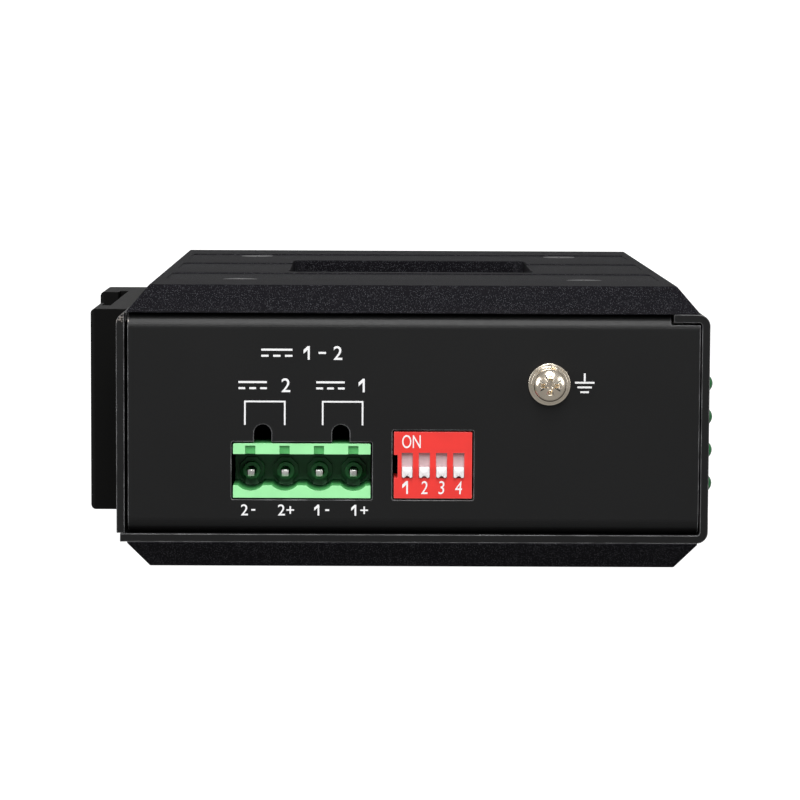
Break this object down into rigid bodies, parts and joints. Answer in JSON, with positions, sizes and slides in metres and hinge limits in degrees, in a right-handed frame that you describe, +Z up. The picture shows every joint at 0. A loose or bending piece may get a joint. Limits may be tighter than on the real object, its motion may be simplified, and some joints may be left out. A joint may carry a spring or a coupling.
{
  "type": "din rail ethernet switch",
  "caption": "Slim network switch in a folded black sheet housing with chamfered side plates, a rail clip, a pluggable power header, a DIP switch, a ground screw and modular ports.",
  "frame": {"origin": "middle of the clip's seat that lies against the DIN rail, half way up and half way across the thickness", "axes": "+Z up with the power end on top, X along the rail with +X to the right side plate, -Y to the front panel"},
  "size_m": [0.042, 0.0978, 0.1171],
  "materials": {
    "chassis_black": "matte",
    "cover_black": "matte",
    "plate_black": "matte",
    "screw_black": "satin",
    "nut_steel": "satin",
    "clip_black": "satin",
    "spring_steel": "satin",
    "ground_nickel": "polished",
    "board_green": "satin",
    "standoff_steel": "satin",
    "header_green": "satin",
    "pin_tin": "polished",
    "switch_red": "satin",
    "slider_white": "satin",
    "port_black": "matte",
    "shield_nickel": "satin",
    "contact_gold": "polished",
    "light_pipe": "polished",
    "led_green": "polished",
    "holder_black": "matte",
    "chip_black": "matte",
    "sink_aluminium": "satin",
    "crystal_steel": "satin",
    "capacitor_sleeve": "satin",
    "ferrite_grey": "matte"
  },
  "bodies": {
    "housing": {"base_chassis": "chassis_black", "cover_shell": "cover_black", "side_plate_right": "plate_black", "side_plate_left": "plate_black", "side_screws_right": "screw_black", "side_screws_left": "screw_black", "side_nuts_right": "nut_steel", "side_nuts_left": "nut_steel", "din_clip": "clip_black", "rail_spring": "spring_steel", "clip_screws": "nut_steel", "clip_nuts": "nut_steel", "ground_screw": "ground_nickel", "ground_spring_washer": "ground_nickel", "ground_flat_washer": "ground_nickel", "ground_nut": "nut_steel", "main_board": "board_green", "board_standoffs": "standoff_steel", "board_screws": "nut_steel", "power_header": "header_green", "header_pins": "pin_tin", "dip_body": "switch_red", "dip_leads": "pin_tin", "port_housing": "port_black", "port_shield": "shield_nickel", "port_contacts": "contact_gold", "port_lights": "light_pipe", "status_leds": "led_green", "led_holder": "holder_black", "led_leads": "pin_tin", "led_holder_screw": "screw_black", "switch_chip": "chip_black", "chip_heatsink": "sink_aluminium", "memory_chip": "chip_black", "crystal": "crystal_steel", "port_transformers": "chip_black", "bulk_capacitors": "capacitor_sleeve", "power_inductor": "ferrite_grey", "input_fuse": "ferrite_grey", "rectifier": "chip_black"},
    "slider_1": {"dip_slider_1": "slider_white"},
    "slider_2": {"dip_slider_2": "slider_white"},
    "slider_3": {"dip_slider_3": "slider_white"},
    "slider_4": {"dip_slider_4": "slider_white"}
  },
  "joints": [
    {"name": "slider_1_travel", "type": "slide", "parent": "housing", "child": "slider_1", "axis": [1, 0, 0], "range_m": [0, 0.002]},
    {"name": "slider_2_travel", "type": "slide", "parent": "housing", "child": "slider_2", "axis": [1, 0, 0], "range_m": [0, 0.002]},
    {"name": "slider_3_travel", "type": "slide", "parent": "housing", "child": "slider_3", "axis": [1, 0, 0], "range_m": [0, 0.002]},
    {"name": "slider_4_travel", "type": "slide", "parent": "housing", "child": "slider_4", "axis": [1, 0, 0], "range_m": [0, 0.002]}
  ]
}
